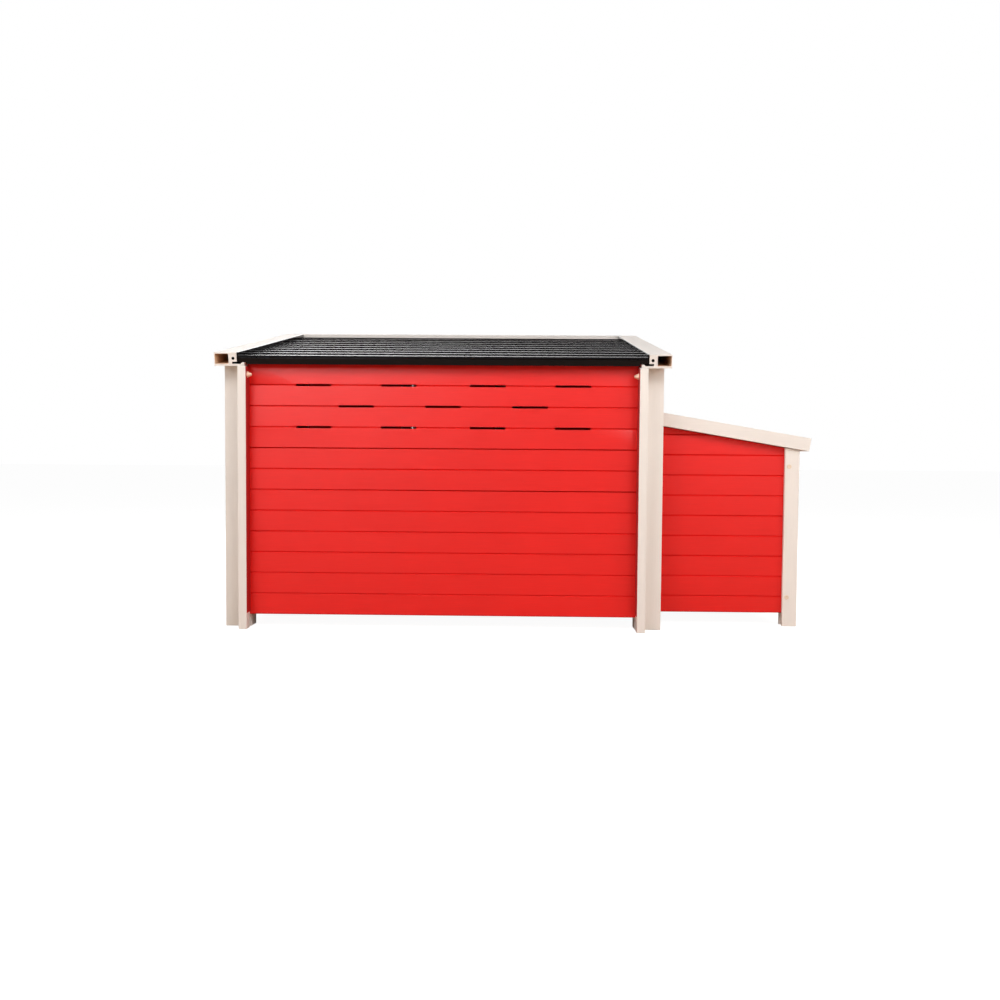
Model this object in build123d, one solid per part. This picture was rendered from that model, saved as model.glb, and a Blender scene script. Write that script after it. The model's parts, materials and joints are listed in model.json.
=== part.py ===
from build123d import *
from math import cos, radians, sin, tan
import os

# Chicken coop with a lean-to roof and a lidded nest box, in millimetres.
# +Z is up, -Y faces the vented back wall and +X faces the nest box.
# The origin is on the ground, in the middle of the whole coop's outline.

# Cabin: four corner posts, measured across their outer faces
CABIN_X = -250.0          # middle of the cabin, left of the whole coop's middle
CABIN_HALF_WIDTH = 733.0
CABIN_HALF_DEPTH = 518.0
POST = 60.0               # square chamber of a corner post
FIN = 27.0                # width of the fin beside that chamber
FIN_REACH = 62.0          # how far the fin stands out past the chamber
POST_WALL = 4.0
CHANNEL = 8.0             # depth of the channels that hold the plank ends
CHANNEL_GAP = 1.0         # play of a plank in its channel

# Planks: tongued and grooved, with a V along each joint
PLANK = 20.0              # thickness
PITCH = 69.6              # height of one plank
WALL_BOTTOM = 44.3
FIRST_PLANK = 70.8
NEST_FIRST_PLANK = 56.8
VEE = 2.5
TONGUE = (7.0, 13.0, 7.0)  # from, to, height
TONGUE_PLAY = 0.3
WALL_RECESS = 42.0        # back and front walls, behind the fins' faces
SIDE_RECESS = 18.0        # side walls, behind the posts' outer faces
PLANK_INSERT = 5.0        # how far a plank end goes into its channel
WALL_TUCK = 16.0          # how far the back and front walls reach up inside the roof
TRIM_THICK = 2.5          # strips on the fins' inner faces
TRIM_SETBACK = 1.5        # their front edges behind the fins' faces
TRIM_FOOT = 10.0          # their feet above the wall's bottom edge
TOP_PLANK_EXTRA = 20.0    # the back wall's top plank is taller, to reach inside the roof

# Vent slots, cut half into each of two planks
SLOT_LENGTH = 120.0
SLOT_HEIGHT = 7.5
SLOT_ROWS = {
    10: (-431.0, -148.0, 148.0, 431.0),
    9: (-289.0, 0.0, 289.0),
    8: (-431.0, -148.0, 148.0, 431.0),
}

# Lean-to roof
EAVE_Z = 868.0            # underside of the roof at the back posts' faces
ROOF_SLOPE = 10.3
RAIL_HEIGHT = 44.0
RAIL_HALF_WIDTH = 750.0
SHINGLE_PITCH = 104.5
SHINGLE_STEP = 4.0
SHINGLE_THICK = 5.0
SHINGLE_TOP = 35.0        # height of each exposed lower edge above the rails' underside
SHINGLE_LAP = 16.0
BOSS_EDGE = 74.0          # from a rail's outer face to its boss's inner face
LIP_EDGE = 98.5           # from a rail's outer face to its lip's inner edge
LIP_TOP = 12.0            # height of the lip's turned-up edge
LIP_ROOT = 59.0           # the slot over the lip: from the rail's outer face
LIP_TURN = 86.5           # where the lip turns up
LIP_SLOT_Z = (7.0, 14.0)
CHAMBER = (45.0, 33.0, 2.0)  # width, height, corner radius
CHAMBER_MIDDLE = (25.0, 23.5)
BOSS_MIDDLE = (62.5, 25.0)
BOSS_HOLE_R = 5.0
TUBE_DEPTH = 36.0         # of the cross rail along the slope
TUBE_WALL = 4.0
PURLIN = (40.0, -8.0, 24.0)  # width, underside, top
STRIP = (4.0, 14.3, 44.5)    # side strips: thickness, underside, top
STRIP_START = 2.0         # from the low end
BOARD_PLAY = 0.5
BOARD_GAP = 2.0           # between the last board and the cross rail

# Nest box
NEST_POST_LOW = 1165.0    # from the cabin's middle
NEST_POST_HIGH = 1214.0
NEST_HALF_DEPTH = 358.0
NEST_RECESS = 15.0
LID_END = 1250.0
LID_START = 720.0
LID_HALF_WIDTH = 368.0
LID_SLOPE = 9.5
LID_LEVEL = (734.5, 689.0)  # a point on the lid's underside, from the cabin's middle
LID_GAP = 1.5
NEST_HEADER_LOW = 690.0   # underside of the beam over the nest entrances
NEST_TRIM = 2.0           # how far that beam and its jambs stand proud of the wall
NEST_DIVIDER = (16.0, 560.0)  # thickness, top
BEDDING_BOARD = (18.0, 110.0)  # thickness, height

# Front door, in the middle of the tall front wall
DOOR_OPENING = 205.0      # half the width between the jambs
JAMB = 45.0
DOOR_GAP = 4.0
DOOR_SILL = 104.0
DOOR_STILE = 50.0
DOOR_THICK = 24.0
DOOR_BRACE = 36.0
JAMB_FACE = 27.0          # jambs' faces behind the front fins' faces
JAMB_INSIDE = 10.0        # how far the jambs stand into the cabin

# Pop opening in the left wall, closed by its own ramp
POP_HALF_WIDTH = 150.0
POP_PLANKS = (1, 6)       # the opening is cut out of these planks
RAMP_HALF_WIDTH = 165.0
RAMP_THICK = 16.0
RAMP_HEIGHT = 362.0
RAMP_STANDOFF = 1.0
CLEATS = 6
CLEAT_PITCH = 53.0
CLEAT_START = 24.0
CLEAT = (10.0, 260.0, 16.0)  # thickness, length, width

# Hinges and bolt
HINGE_OFFSET = 5.5        # axis above the faces it joins
KNUCKLE_R = 5.0
PIN_R = 2.5
PIN_PLAY = 0.06
LEAF_THICK = 2.0
LEAF_WIDTH = 36.0
LEAF_LENGTH = 60.0

# Floor and perches
FLOOR_TOP = 86.0
FLOOR_THICK = 12.0
PERCH = 38.0
PERCH_Z = 450.0
PERCH_X = (-530.0, -330.0)
CABIN_JOISTS = (-380.0, -130.0, 130.0, 375.0)
NEST_JOISTS = (45.0, 230.0, 415.0)
JOIST = 30.0
BATTEN_X = 218.5         # between the vent slots
BATTEN = (19.0, 20.0)     # width, thickness
BATTEN_TOP = 865.0

BACK_FACE = -CABIN_HALF_DEPTH + WALL_RECESS
FRONT_FACE = CABIN_HALF_DEPTH - WALL_RECESS
LEFT_FACE = CABIN_X - CABIN_HALF_WIDTH + SIDE_RECESS
RIGHT_FACE = CABIN_X + CABIN_HALF_WIDTH - SIDE_RECESS
FIN_INNER = CABIN_HALF_WIDTH - POST - FIN
POST_INNER_Y = CABIN_HALF_DEPTH - FIN_REACH - POST
BIG = 3000.0


def joint_z(index, first=FIRST_PLANK):
    """Height of the joint above plank number index."""
    return WALL_BOTTOM + first + index * PITCH


def block(x, y, z):
    """A box between two corners, given as three (low, high) pairs."""
    sizes = [high - low for low, high in (x, y, z)]
    middle = [(high + low) / 2 for low, high in (x, y, z)]
    return Pos(*middle) * Box(*sizes)


def mirrored_y(shape):
    return mirror(shape, about=Plane.XZ)


def mirrored_x(shape):
    """Mirror about the cabin's middle plane."""
    return mirror(shape, about=Plane.YZ.offset(CABIN_X))


def solids_of(shapes):
    """Every solid in a list of shapes."""
    return [solid for shape in shapes for solid in shape.solids()]


def write(node, *shapes):
    export_step(Compound(children=solids_of(shapes)), f"parts/{node}.step")


# Slanting frames: local x across, local y up the slope and local z square to it
slope_run = RAIL_HEIGHT * sin(radians(ROOF_SLOPE))
roof_plane = Plane(
    origin=(CABIN_X, -CABIN_HALF_DEPTH + slope_run, EAVE_Z + slope_run * tan(radians(ROOF_SLOPE))),
    x_dir=(1, 0, 0),
    z_dir=(0, -sin(radians(ROOF_SLOPE)), cos(radians(ROOF_SLOPE))),
)
roof_length = (2 * CABIN_HALF_DEPTH - slope_run) / cos(radians(ROOF_SLOPE))

lid_run = RAIL_HEIGHT * sin(radians(LID_SLOPE))
lid_low_x = LID_END - lid_run
lid_low_z = LID_LEVEL[1] - (lid_low_x - LID_LEVEL[0]) * tan(radians(LID_SLOPE))
lid_plane = Plane(
    origin=(CABIN_X + lid_low_x, 0, lid_low_z),
    x_dir=(0, 1, 0),
    z_dir=(sin(radians(LID_SLOPE)), 0, cos(radians(LID_SLOPE))),
)
lid_length = (lid_low_x - LID_START) / cos(radians(LID_SLOPE))


def trim_above(shape, plane, height):
    """Cut off what stands above a height over a slanting plane."""
    waste = block((-BIG, BIG), (-BIG, BIG), (height, height + BIG))
    return shape - plane.location * waste


def under_roof(shape, height=-0.3):
    return trim_above(shape, roof_plane, height)


def under_lid(shape):
    return trim_above(shape, lid_plane, -LID_GAP)


# Walls

def plank_outline(face, inward, low, high, groove, tongue):
    """Cross-section of a plank: depth from its outer face, and height."""
    near, far, rise = TONGUE
    points = [(0, low + VEE), (0, high - VEE), (VEE, high)]
    if tongue:
        points += [(near, high), (near, high + rise), (far, high + rise), (far, high)]
    points += [(PLANK, high), (PLANK, low)]
    if groove:
        top = low + rise + TONGUE_PLAY
        points += [(far + TONGUE_PLAY, low), (far + TONGUE_PLAY, top)]
        points += [(near - TONGUE_PLAY, top), (near - TONGUE_PLAY, low)]
    points += [(VEE, low)]
    return [(face + inward * depth, height) for depth, height in points]


def run_along(points, axis, start, end):
    """Extrude an outline along X or along Y."""
    outline = Polygon(*points, align=None)
    if axis == "x":
        return extrude(Plane.YZ.offset(start) * outline, amount=end - start, dir=(1, 0, 0))
    return extrude(Plane.XZ.offset(-start) * outline, amount=end - start, dir=(0, 1, 0))


def plank_heights(first, lowest, top):
    """The (index, low, high) of each plank from joint number lowest up to a height."""
    planks = []
    index = lowest
    low = WALL_BOTTOM if index == 0 else joint_z(index - 1, first)
    while low < top:
        high = joint_z(index, first)
        planks.append((index, low, high))
        low = high
        index += 1
    return planks


def plank_wall(axis, start, end, face, inward, top, first=FIRST_PLANK, lowest=0, extra=0.0):
    """Planks stacked up to a height, as {index: solid}; the top one is taller by extra."""
    wall = {}
    planks = plank_heights(first, lowest, top)
    for index, low, high in planks:
        has_tongue = index < planks[-1][0]
        if not has_tongue:
            high += extra
        outline = plank_outline(face, inward, low, high, index > lowest, has_tongue)
        wall[index] = run_along(outline, axis, start, end)
    return wall


def slot_cut(middle_x, middle_z):
    """A milled slot with round ends, right through the back wall."""
    deep = 3 * PLANK
    straight = SLOT_LENGTH - SLOT_HEIGHT
    cut = Box(straight, deep, SLOT_HEIGHT)
    for side in (-1, 1):
        cut += Pos(side * straight / 2, 0, 0) * Rot(90, 0, 0) * Cylinder(SLOT_HEIGHT / 2, deep)
    return Pos(middle_x, BACK_FACE + PLANK / 2, middle_z) * cut


def cut_slots(wall):
    """Cut each vent slot half from the plank below its joint and half from the one above."""
    deep = (BACK_FACE - PLANK, BACK_FACE + 2 * PLANK)
    for joint, offsets in SLOT_ROWS.items():
        middle = joint_z(joint)
        for offset in offsets:
            wide = (CABIN_X + offset - SLOT_LENGTH / 2, CABIN_X + offset + SLOT_LENGTH / 2)
            cut = slot_cut(CABIN_X + offset, middle)
            tongue = block(wide, deep, (middle, middle + PLANK))
            wall[joint] = wall[joint] - cut - tongue
            wall[joint + 1] -= cut
    return wall


def corner_post():
    """The back left post: a square chamber with a fin that covers the wall's ends."""
    low_x = CABIN_X - CABIN_HALF_WIDTH
    mid_x = low_x + POST
    high_x = mid_x + FIN
    front = -CABIN_HALF_DEPTH
    step = front + FIN_REACH
    back = step + POST
    tall = (0, BIG)
    solid = block((low_x, high_x), (step, back), tall) + block((mid_x, high_x), (front, back), tall)
    wall = POST_WALL
    web = wall / 2
    chamber_back = back - wall - CHANNEL - web
    solid -= block((low_x + wall, mid_x - wall), (step + wall, chamber_back), tall)
    solid -= block((mid_x + wall, high_x - wall), (front + wall, BACK_FACE - wall - web), tall)
    solid -= block((mid_x + wall, high_x - wall), (BACK_FACE + PLANK + 2 * wall, back - wall), tall)
    back_channel = (BACK_FACE - CHANNEL_GAP, BACK_FACE + PLANK + CHANNEL_GAP)
    solid -= block((high_x - CHANNEL, high_x + 1), back_channel, tall)
    side_channel = (LEFT_FACE - CHANNEL_GAP, LEFT_FACE + PLANK + CHANNEL_GAP)
    solid -= block(side_channel, (back - CHANNEL, back + 1), tall)
    return solid


def write_corner_posts():
    back_left = corner_post()
    for depth, place_y in (("back", lambda s: s), ("front", mirrored_y)):
        for side, place_x in (("left", lambda s: s), ("right", mirrored_x)):
            post = under_roof(place_y(place_x(back_left)), 0)
            write(f"corner_post_{depth}_{side}", post)


wall_reach = FIN_INNER + PLANK_INSERT
side_reach = POST_INNER_Y + PLANK_INSERT
roof_rise = tan(radians(ROOF_SLOPE))
side_wall_top = EAVE_Z + (CABIN_HALF_DEPTH + POST_INNER_Y) * roof_rise
front_wall_top = EAVE_Z + (CABIN_HALF_DEPTH + FRONT_FACE) * roof_rise


def write_back_wall():
    ends = (CABIN_X - wall_reach, CABIN_X + wall_reach)
    wall = plank_wall("x", *ends, BACK_FACE, 1, EAVE_Z, extra=TOP_PLANK_EXTRA)
    wall = cut_slots(wall)
    planks = [under_roof(plank, WALL_TUCK) for plank in wall.values()]
    write("back_wall_planks", *planks)
    battens = []
    inner = BACK_FACE + PLANK
    width, thick = BATTEN
    for side in (-1, 1):
        middle = CABIN_X + side * BATTEN_X
        across = (middle - width / 2, middle + width / 2)
        battens.append(block(across, (inner, inner + thick), (FLOOR_TOP, BATTEN_TOP)))
    write("back_wall_battens", *battens)


def write_wall_end_trims():
    """Thin red strips on the fins' inner faces, beside the back and front walls."""
    strips = []
    for side in (-1, 1):
        across = sorted((CABIN_X + side * FIN_INNER, CABIN_X + side * (FIN_INNER - TRIM_THICK)))
        for depth in (-1, 1):
            outer = depth * (CABIN_HALF_DEPTH - TRIM_SETBACK)
            along = sorted((outer, depth * (CABIN_HALF_DEPTH - WALL_RECESS)))
            strips.append(under_roof(block(across, along, (WALL_BOTTOM + TRIM_FOOT, BIG))))
    write("wall_end_trims", *strips)


def write_left_wall():
    wall = plank_wall("y", -side_reach, side_reach, LEFT_FACE, 1, side_wall_top)
    low, high = POP_PLANKS
    hole_z = (joint_z(low - 1), joint_z(high - 1))
    through = (LEFT_FACE - PLANK, LEFT_FACE + 2 * PLANK)
    across = (-POP_HALF_WIDTH, POP_HALF_WIDTH)
    hole = block(through, across, (hole_z[0], hole_z[1] + PLANK))
    sill_tongue = block(through, (-BIG, BIG), (hole_z[0], hole_z[0] + PLANK))
    planks = []
    for index, plank in wall.items():
        if low <= index < high:
            plank -= hole
        if index == low - 1:
            plank -= sill_tongue
        planks.append(under_roof(plank))
    write("left_wall_planks", *planks)


def write_right_wall():
    header_z = (NEST_HEADER_LOW, joint_z(10))
    proud = (RIGHT_FACE - PLANK - NEST_TRIM, RIGHT_FACE + NEST_TRIM)
    header = block(proud, (-POST_INNER_Y, POST_INNER_Y), header_z)
    wall = plank_wall("y", -side_reach, side_reach, RIGHT_FACE, -1, side_wall_top, lowest=11)
    write("right_wall_planks", *[under_roof(plank) for plank in wall.values()])
    jambs = []
    inner = NEST_HALF_DEPTH - NEST_RECESS - PLANK
    for side in (-1, 1):
        across = sorted((side * inner, side * POST_INNER_Y))
        jamb_x = (RIGHT_FACE - PLANK, RIGHT_FACE + NEST_TRIM)
        jambs.append(block(jamb_x, across, (WALL_BOTTOM, header_z[0])))
    write("nest_opening_frame", header, *jambs)


header_low = joint_z(12)
header_high = joint_z(13)
jamb_y = (FRONT_FACE - PLANK - JAMB_INSIDE, CABIN_HALF_DEPTH - JAMB_FACE)


def write_front_wall():
    jamb_outer = DOOR_OPENING + JAMB
    bays = [
        (-wall_reach, -jamb_outer, 0),
        (-DOOR_OPENING, DOOR_OPENING, 14),
        (jamb_outer, wall_reach, 0),
    ]
    planks = []
    for start, end, lowest in bays:
        ends = (CABIN_X + start, CABIN_X + end)
        wall = plank_wall("x", *ends, FRONT_FACE, -1, front_wall_top, lowest=lowest)
        planks += [under_roof(plank, WALL_TUCK) for plank in wall.values()]
    write("front_wall_planks", *planks)
    jambs = []
    for side in (-1, 1):
        across = sorted((CABIN_X + side * DOOR_OPENING, CABIN_X + side * jamb_outer))
        jambs.append(under_roof(block(across, jamb_y, (0, BIG)), 0))
    across = (CABIN_X - DOOR_OPENING, CABIN_X + DOOR_OPENING)
    header = block(across, jamb_y, (header_low, header_high))
    sill = block(across, jamb_y, (WALL_BOTTOM, DOOR_SILL))
    write("door_frame", *jambs, header, sill)


# Roof and lid: the same rails, shingles and eave board

def rail_outline(outer):
    """Right-hand rail: a chamber outside, a screw boss and a lip inside."""
    slot_low, slot_high = LIP_SLOT_Z
    points = [
        (outer, 0),
        (outer, RAIL_HEIGHT),
        (outer - BOSS_EDGE, RAIL_HEIGHT),
        (outer - BOSS_EDGE, slot_high),
        (outer - LIP_ROOT, slot_high),
        (outer - LIP_ROOT, slot_low),
        (outer - LIP_TURN, slot_low),
        (outer - LIP_TURN - LIP_TOP + slot_low, LIP_TOP),
        (outer - LIP_EDGE, LIP_TOP),
        (outer - LIP_EDGE, 0),
    ]
    profile = Polygon(*points, align=None)
    profile -= Pos(outer - CHAMBER_MIDDLE[0], CHAMBER_MIDDLE[1]) * RectangleRounded(*CHAMBER)
    profile -= Pos(outer - BOSS_MIDDLE[0], BOSS_MIDDLE[1]) * Circle(BOSS_HOLE_R)
    return profile


def rail(outer, length):
    """A rail in its slanting frame, from the low end up."""
    return extrude(Plane.XZ * rail_outline(outer), amount=length, dir=(0, 1, 0))


def shingle(index, half_width, length):
    """A lapped board: its lower edge stands one step proud of the board below."""
    low = index * SHINGLE_PITCH
    high = min(low + SHINGLE_PITCH + SHINGLE_LAP, length)
    fall = SHINGLE_STEP * (high - low) / SHINGLE_PITCH
    top = SHINGLE_TOP
    bottom = top - SHINGLE_THICK
    drip = SHINGLE_TOP - SHINGLE_STEP - SHINGLE_THICK + 2
    points = [
        (low, drip + 0.3),
        (low, top - 1.5),
        (low + 1.5, top),
        (high, top - fall),
        (high, bottom - fall),
        (low + 6, bottom - 0.2),
        (low + 4, drip + 3),
    ]
    return run_along(points, "x", -half_width, half_width)


def shingles(half_width, length):
    boards = []
    index = 0
    while index * SHINGLE_PITCH < length - SHINGLE_LAP:
        boards.append(shingle(index, half_width, length))
        index += 1
    return boards


def clear_of_lips(shape, half_width):
    """Notch the ends of a cross piece around the lips of the rails."""
    inner = half_width - (LIP_EDGE - BOSS_EDGE)
    for side in (-1, 1):
        across = sorted((side * inner, side * (half_width + 1)))
        shape -= block(across, (-BIG, BIG), (-1, LIP_TOP + 0.5))
    return shape


def eave_board(half_width):
    """Closes the low end under the first shingle."""
    points = [(2, 6), (2, 27), (7, 27), (7, 11), (30, 11), (30, 6)]
    return clear_of_lips(run_along(points, "x", -half_width, half_width), half_width)


def cross_tube(half_width, low, high):
    """A hollow tube across the high end, between the rails."""
    wall = TUBE_WALL
    outside = block((-half_width, half_width), (low, high), (0, RAIL_HEIGHT))
    inside = block((-half_width, half_width), (low + wall, high - wall), (wall, RAIL_HEIGHT - wall))
    return clear_of_lips(outside - inside, half_width)


def side_strips(half_width, length):
    """Two thin strips that cover the rails' inner faces beside the boards."""
    strips = []
    for side in (-1, 1):
        across = sorted((side * half_width, side * (half_width - STRIP[0])))
        strips.append(block(across, (STRIP_START, length), STRIP[1:]))
    return strips


def placed(plane, *shapes):
    return [plane.location * shape for shape in shapes]


def write_roof():
    right = rail(RAIL_HALF_WIDTH, roof_length)
    left = mirror(right, about=Plane.YZ)
    write("roof_rail_right", *placed(roof_plane, right))
    write("roof_rail_left", *placed(roof_plane, left))
    half = RAIL_HALF_WIDTH - BOSS_EDGE - BOARD_PLAY
    boards_end = roof_length - TUBE_DEPTH - BOARD_GAP
    boards = shingles(half - STRIP[0] - BOARD_PLAY, boards_end)
    write("roof_shingles", *placed(roof_plane, *boards))
    write("roof_side_strips", *placed(roof_plane, *side_strips(half, boards_end)))
    write("roof_eave_board", *placed(roof_plane, eave_board(half - STRIP[0] - BOARD_PLAY)))
    tube = cross_tube(half, roof_length - TUBE_DEPTH, roof_length)
    write("roof_front_cross_rail", *placed(roof_plane, tube))
    purlins = []
    reach = RAIL_HALF_WIDTH - LIP_EDGE
    width, low, high = PURLIN
    for third in (1, 2):
        middle = roof_length * third / 3
        along = (middle - width / 2, middle + width / 2)
        purlins.append(block((-reach, reach), along, (low, high)))
    write("roof_purlins", *placed(roof_plane, *purlins))


def write_lid():
    near = rail(LID_HALF_WIDTH, lid_length)
    far = mirror(near, about=Plane.YZ)
    write("lid_side_rails", *placed(lid_plane, near, far))
    half = LID_HALF_WIDTH - BOSS_EDGE - BOARD_PLAY
    boards_end = lid_length - TUBE_DEPTH - BOARD_GAP
    boards = shingles(half - STRIP[0] - BOARD_PLAY, boards_end)
    write("lid_shingles", *placed(lid_plane, *boards))
    write("lid_side_strips", *placed(lid_plane, *side_strips(half, boards_end)))
    write("lid_eave_board", *placed(lid_plane, eave_board(half - STRIP[0] - BOARD_PLAY)))
    tube = cross_tube(half, lid_length - TUBE_DEPTH, lid_length)
    write("lid_top_cross_rail", *placed(lid_plane, tube))


# Nest box

def write_nest():
    outer = NEST_HALF_DEPTH
    thick = NEST_POST_HIGH - NEST_POST_LOW
    across = (CABIN_X + NEST_POST_LOW, CABIN_X + NEST_POST_HIGH)
    end_face = across[1] - NEST_RECESS
    side_face = -outer + NEST_RECESS
    tall = (0, BIG)
    wall = POST_WALL
    post = block(across, (-outer, -outer + thick), tall)
    core_y = (-outer + wall, -outer + NEST_RECESS - wall)
    post -= block((across[0] + wall, across[1] - wall), core_y, tall)
    side_channel = (side_face - CHANNEL_GAP, side_face + PLANK + CHANNEL_GAP)
    post -= block((across[0] - 1, across[0] + CHANNEL), side_channel, tall)
    end_channel = (end_face - PLANK - CHANNEL_GAP, end_face + CHANNEL_GAP)
    post -= block(end_channel, (-outer + thick - CHANNEL, -outer + thick + 1), tall)
    back_post = under_lid(post)
    write("nest_post_back", back_post)
    write("nest_post_front", mirrored_y(back_post))

    start = RIGHT_FACE + 2
    end = across[0] + PLANK_INSERT
    side = plank_wall("x", start, end, side_face, 1, LID_LEVEL[1], NEST_FIRST_PLANK)
    back_planks = [under_lid(plank) for plank in side.values()]
    write("nest_side_planks", *back_planks, *[mirrored_y(plank) for plank in back_planks])
    reach = outer - thick + PLANK_INSERT
    far_end = plank_wall("y", -reach, reach, end_face, -1, lid_low_z, NEST_FIRST_PLANK)
    write("nest_end_planks", *[under_lid(plank) for plank in far_end.values()])

    inner = outer - NEST_RECESS - PLANK
    inside_x = (RIGHT_FACE - PLANK, end_face - PLANK)
    floor_z = (FLOOR_TOP - FLOOR_THICK, FLOOR_TOP)
    floor = block((inside_x[0], inside_x[1]), (-inner, inner), floor_z)
    for side_sign in (-1, 1):
        corner_y = sorted((side_sign * (outer - thick), side_sign * outer))
        floor -= block((across[0], across[1]), corner_y, floor_z)
    write("nest_floor_panel", floor)
    thick, top = NEST_DIVIDER
    write("nest_divider", block(inside_x, (-thick / 2, thick / 2), (FLOOR_TOP, top)))
    boards = []
    board_thick, board_height = BEDDING_BOARD
    for side_sign in (-1, 1):
        span = sorted((side_sign * thick / 2, side_sign * inner))
        along = (inside_x[0], inside_x[0] + board_thick)
        boards.append(block(along, span, (FLOOR_TOP, FLOOR_TOP + board_height)))
    write("nest_bedding_boards", *boards)


# Inside the cabin

def write_floor():
    inner_x = CABIN_HALF_WIDTH - SIDE_RECESS - PLANK
    back_y = BACK_FACE + PLANK
    front_y = jamb_y[0]
    floor_z = (FLOOR_TOP - FLOOR_THICK, FLOOR_TOP)
    floor = block((CABIN_X - inner_x, CABIN_X + inner_x), (back_y, front_y), floor_z)
    for side_x in (-1, 1):
        for side_y in (-1, 1):
            corner_x = sorted((CABIN_X + side_x * FIN_INNER, CABIN_X + side_x * CABIN_HALF_WIDTH))
            corner_y = sorted((side_y * POST_INNER_Y, side_y * CABIN_HALF_DEPTH))
            floor -= block(corner_x, corner_y, floor_z)
    write("floor_panel", floor)
    joists = []
    joist_z = (WALL_BOTTOM, floor_z[0])
    for middle in CABIN_JOISTS:
        across = (CABIN_X - inner_x, CABIN_X + inner_x)
        joists.append(block(across, (middle - JOIST / 2, middle + JOIST / 2), joist_z))
    nest_inner = NEST_HALF_DEPTH - NEST_RECESS - PLANK
    for offset in NEST_JOISTS:
        middle = RIGHT_FACE + offset
        across = (-nest_inner, nest_inner)
        joists.append(block((middle - JOIST / 2, middle + JOIST / 2), across, joist_z))
    write("floor_joists", *joists)


def perch(middle_x):
    bar = Pos(middle_x, 0, PERCH_Z) * Box(PERCH, FRONT_FACE - BACK_FACE - 2 * PLANK - 4, PERCH)
    return fillet(bar.edges().filter_by(Axis.Y), 8)


def perch_socket(middle_x, face, inward):
    """A U-shaped socket on a wall that a perch drops into."""
    ends = sorted((face, face + inward * 25))
    wide = PERCH / 2 + 6.5
    socket = block((middle_x - wide, middle_x + wide), ends, (PERCH_Z - wide, PERCH_Z + 12))
    pocket_y = sorted((face + inward * 1.5, face + inward * 26))
    half = PERCH / 2 + 0.5
    return socket - block((middle_x - half, middle_x + half), pocket_y, (PERCH_Z - half, PERCH_Z + 20))


def write_perches():
    back = BACK_FACE + PLANK
    front = FRONT_FACE - PLANK
    bars = []
    sockets = []
    for offset in PERCH_X:
        bars.append(perch(CABIN_X + offset))
        sockets.append(perch_socket(CABIN_X + offset, back, 1))
        sockets.append(perch_socket(CABIN_X + offset, front, -1))
    write("perches", *bars)
    write("perch_sockets", *sockets)


# Hinges: local z is the pin, local y is away from the faces that the leaves lie on

def knuckle(low, high):
    ring = Circle(KNUCKLE_R) - Circle(PIN_R + PIN_PLAY)
    return extrude(Plane.XY.offset(low) * ring, amount=high - low)


def leaf(side, bands):
    """A leaf on one side of the pin, with a knuckle for each (low, high) band."""
    face = -HINGE_OFFSET
    half = LEAF_LENGTH / 2
    plate_x = sorted((side * (KNUCKLE_R + 1), side * LEAF_WIDTH))
    solid = block(plate_x, (face, face + LEAF_THICK), (-half, half))
    for low, high in bands:
        bridge_x = sorted((side * (PIN_R + 0.8), side * (KNUCKLE_R + 2)))
        solid += block(bridge_x, (face + 0.6, face + LEAF_THICK + 0.6), (low, high))
        solid += knuckle(low, high)
    solid -= Cylinder(PIN_R + PIN_PLAY, LEAF_LENGTH + 2)
    for height in (-half * 0.6, half * 0.6):
        solid -= Pos(side * LEAF_WIDTH * 0.62, face + 1, height) * Rot(90, 0, 0) * Cylinder(2.5, 6)
    return solid


def hinge_fixed():
    half = LEAF_LENGTH / 2
    return leaf(-1, [(-half, -half / 3 - 0.3), (half / 3 + 0.3, half)])


def hinge_moving():
    third = LEAF_LENGTH / 6
    return leaf(1, [(-third, third)])


def hinge_pin():
    shaft = Cylinder(PIN_R, LEAF_LENGTH + 3)
    head = Pos(0, 0, LEAF_LENGTH / 2 + 1.7) * Cylinder(KNUCKLE_R - 1, 1.8)
    return shaft + head


def write_hinges(name, fixed_places, moving_places):
    write(f"{name}_hinge_fixed_leaves", *[place * hinge_fixed() for place in fixed_places])
    write(f"{name}_hinge_moving_leaves", *[place * hinge_moving() for place in moving_places])
    write(f"{name}_hinge_pins", *[place * hinge_pin() for place in fixed_places])


# Front door

door_low = DOOR_SILL + DOOR_GAP
door_high = header_low - DOOR_GAP
door_left = CABIN_X - DOOR_OPENING + DOOR_GAP
door_right = CABIN_X + DOOR_OPENING - DOOR_GAP
door_y = (jamb_y[1] - DOOR_THICK, jamb_y[1])
door_middle = (door_low + door_high) / 2


def brace(start, end, width, y):
    """A flat slanting board between two points of the door's plane."""
    line = Vector(end[0] - start[0], 0, end[1] - start[1])
    angle = Vector(1, 0, 0).get_signed_angle(line, Vector(0, -1, 0))
    middle = ((start[0] + end[0]) / 2, (y[0] + y[1]) / 2, (start[1] + end[1]) / 2)
    return Pos(*middle) * Rot(0, -angle, 0) * Box(line.length + 2 * width, y[1] - y[0], width)


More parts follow.
